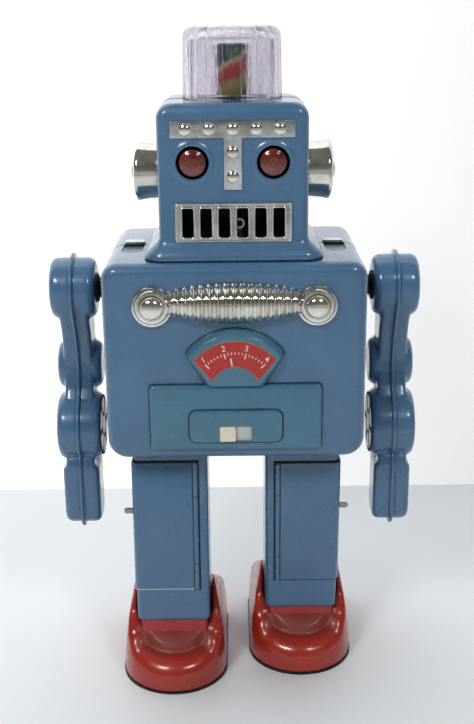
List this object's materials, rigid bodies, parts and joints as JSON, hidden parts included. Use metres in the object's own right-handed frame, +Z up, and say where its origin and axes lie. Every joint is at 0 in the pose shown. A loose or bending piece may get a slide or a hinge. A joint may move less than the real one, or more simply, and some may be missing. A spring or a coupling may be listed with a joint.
{
  "type": "tin toy robot",
  "caption": "Tin robot in mid-stride with a lit fluted dome, ribbed chest barrel, dial, slide switch, swinging arms, battery doors in the legs and red shoes.",
  "frame": {"origin": "on the floor, at the middle of the bounding box", "axes": "+Z up, the robot faces -Y, its own left side is at +X"},
  "size_m": [0.1706, 0.1041, 0.305],
  "materials": {
    "blue_paint": "gloss enamel, worn at edges",
    "teal_paint": "gloss enamel",
    "red_paint": "gloss enamel",
    "bright_plate": "polished plate",
    "bare_steel": "bare steel",
    "brass": "turned brass",
    "clear_dome": "clear lilac plastic",
    "bulb_glass": "clear bulb",
    "red_lens": "clear red lens",
    "cream_plastic": "moulded plastic",
    "fibre_board": "pressed fibre board with brass strips",
    "drum_print": "printed film with colour bands",
    "cell_jacket": "painted metal jacket",
    "black_steel": "black enamel",
    "black_rubber": "rubber"
  },
  "bodies": {
    "torso": {"torso_front_shell": "blue_paint", "torso_back_shell": "blue_paint", "torso_base_plate": "bare_steel", "shoulder_tabs": "bright_plate", "head_shell": "blue_paint", "head_frame": "bare_steel", "crystal_dome": "clear_dome", "face_plate": "bright_plate", "face_rivets": "bright_plate", "mouth_grille": "bright_plate", "vapour_tube": "bare_steel", "eye_lens_right": "red_lens", "eye_lens_left": "red_lens", "lamp_bulbs": "bulb_glass", "ear_cup_right": "bright_plate", "ear_cup_left": "bright_plate", "chest_barrel": "bright_plate", "chest_bosses": "bright_plate", "gauge_housing": "teal_paint", "gauge_dial": "red_paint", "chest_panel": "teal_paint", "switch_contacts": "fibre_board", "motor": "bare_steel", "gearbox_plate_right": "bare_steel", "gearbox_plate_left": "bare_steel", "gearbox_spacers": "brass", "hip_axle": "bare_steel", "vapour_chamber": "brass", "pump_cylinder": "brass"},
    "switch": {"switch_knob": "cream_plastic"},
    "motor_rotor": {"motor_pinion": "brass"},
    "reduction": {"reduction_gear": "brass"},
    "crank": {"crank_gear": "bare_steel"},
    "drum": {"drum_shaft": "bare_steel", "colour_drum": "drum_print"},
    "piston": {"pump_piston": "bare_steel"},
    "right_leg": {"leg_shell_right": "blue_paint", "leg_yoke_right": "bare_steel", "battery_right": "cell_jacket", "hinge_pin_right": "bare_steel"},
    "left_leg": {"leg_shell_left": "blue_paint", "leg_yoke_left": "bare_steel", "battery_left": "cell_jacket", "hinge_pin_left": "bare_steel"},
    "right_door": {"battery_door_right": "blue_paint"},
    "left_door": {"battery_door_left": "blue_paint"},
    "right_foot": {"foot_shell_right": "red_paint", "foot_sole_right": "black_steel", "ankle_pins_right": "bright_plate"},
    "left_foot": {"foot_shell_left": "red_paint", "foot_sole_left": "black_steel", "ankle_pins_left": "bright_plate"},
    "right_roller": {"foot_roller_right": "black_rubber"},
    "left_roller": {"foot_roller_left": "black_rubber"},
    "right_arm": {"arm_outer_right": "blue_paint", "arm_inner_right": "blue_paint", "shoulder_pin_right": "bright_plate"},
    "left_arm": {"arm_outer_left": "blue_paint", "arm_inner_left": "blue_paint", "shoulder_pin_left": "bright_plate"}
  },
  "joints": [
    {"name": "hip_right", "type": "hinge", "parent": "torso", "child": "right_leg", "pos_m": [-0.031, -0.00285, 0.14], "axis": [1, 0, 0], "range_deg": [0, 8]},
    {"name": "hip_left", "type": "hinge", "parent": "torso", "child": "left_leg", "pos_m": [0.031, -0.00285, 0.14], "axis": [1, 0, 0], "range_deg": [-8, 0]},
    {"name": "ankle_right", "type": "hinge", "parent": "right_leg", "child": "right_foot", "pos_m": [-0.031, -0.01046, 0.0312], "axis": [1, 0, 0], "range_deg": [-8, 0]},
    {"name": "ankle_left", "type": "hinge", "parent": "left_leg", "child": "left_foot", "pos_m": [0.031, 0.00476, 0.0312], "axis": [1, 0, 0], "range_deg": [0, 8]},
    {"name": "door_right", "type": "hinge", "parent": "right_leg", "child": "right_door", "pos_m": [-0.0194, -0.0265, 0.0785], "axis": [0, 0.0698, 0.9976], "range_deg": [0, 110]},
    {"name": "shoulder_right", "type": "hinge", "parent": "torso", "child": "right_arm", "pos_m": [-0.0743, 0.00015, 0.189], "axis": [-1, 0, 0], "range_deg": [-60, 120]},
    {"name": "roller_right", "type": "hinge", "parent": "right_foot", "child": "right_roller", "pos_m": [-0.031, -0.00446, 0.0041], "axis": [1, 0, 0], "continuous": true},
    {"name": "door_left", "type": "hinge", "parent": "left_leg", "child": "left_door", "pos_m": [0.0194, -0.01771, 0.07581], "axis": [0, 0.0698, -0.9976], "range_deg": [0, 110]},
    {"name": "shoulder_left", "type": "hinge", "parent": "torso", "child": "left_arm", "pos_m": [0.0743, 0.00015, 0.189], "axis": [-1, 0, 0], "range_deg": [-60, 120]},
    {"name": "roller_left", "type": "hinge", "parent": "left_foot", "child": "left_roller", "pos_m": [0.031, 0.01076, 0.0041], "axis": [1, 0, 0], "continuous": true},
    {"name": "switch_slide", "type": "slide", "parent": "torso", "child": "switch", "axis": [1, 0, 0], "range_m": [0, 0.007]},
    {"name": "pump_slide", "type": "slide", "parent": "torso", "child": "piston", "axis": [0, 0, 1], "range_m": [0, 0.008]},
    {"name": "crank_spin", "type": "hinge", "parent": "torso", "child": "crank", "pos_m": [0, -0.00285, 0.168], "axis": [1, 0, 0], "continuous": true},
    {"name": "reduction_spin", "type": "hinge", "parent": "torso", "child": "reduction", "pos_m": [0, 0.01635, 0.168], "axis": [1, 0, 0], "continuous": true},
    {"name": "motor_spin", "type": "hinge", "parent": "torso", "child": "motor_rotor", "pos_m": [0, 0.01635, 0.1872], "axis": [1, 0, 0], "continuous": true},
    {"name": "drum_spin", "type": "hinge", "parent": "torso", "child": "drum", "pos_m": [0, -0.00835, 0.23], "axis": [0, 0, 1], "continuous": true}
  ],
  "couplings": [
    {"joint": "hip_left", "follows": "hip_right", "ratio": -1},
    {"joint": "ankle_right", "follows": "hip_right", "ratio": -1},
    {"joint": "ankle_left", "follows": "hip_right", "ratio": 1},
    {"joint": "reduction_spin", "follows": "crank_spin", "ratio": -3},
    {"joint": "motor_spin", "follows": "crank_spin", "ratio": 9},
    {"joint": "drum_spin", "follows": "crank_spin", "ratio": 2.5714}
  ]
}
